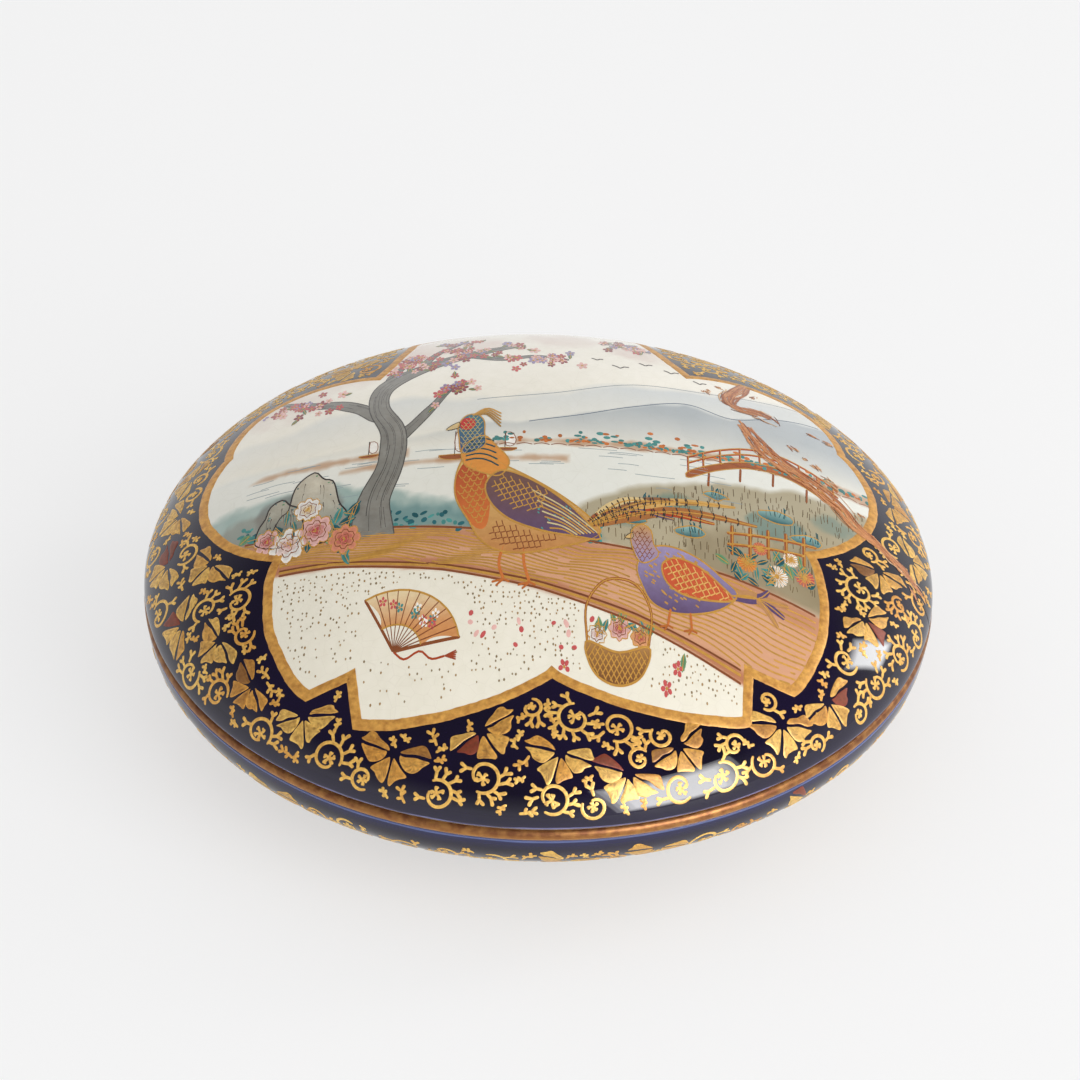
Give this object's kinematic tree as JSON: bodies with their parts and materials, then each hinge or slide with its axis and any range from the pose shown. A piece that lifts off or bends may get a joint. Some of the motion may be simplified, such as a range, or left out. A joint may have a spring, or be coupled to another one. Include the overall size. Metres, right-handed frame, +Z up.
{
  "type": "lidded porcelain box",
  "caption": "Round footed porcelain box with a domed lift-off lid that an upstanding inner flange keeps centred.",
  "frame": {"origin": "centre of the foot ring's underside, on the table", "axes": "+Z up along the box's axis of revolution; +Y away from the picture's viewer; +X to the viewer's right"},
  "size_m": [0.12, 0.12, 0.0409],
  "materials": {
    "bowl_glaze": "glossy cobalt-blue glaze with gilt sprays",
    "lid_glaze": "glossy cream and cobalt-blue glazes",
    "gilding": "satin burnished gilding",
    "enamel": "glossy overglaze enamels"
  },
  "bodies": {
    "bowl": {"bowl": "bowl_glaze"},
    "lid": {"lid": "lid_glaze"}
  },
  "joints": [
    {"name": "lid_lift", "type": "slide", "parent": "bowl", "child": "lid", "axis": [0, 0, 1], "range_m": [0, 0.07]}
  ]
}
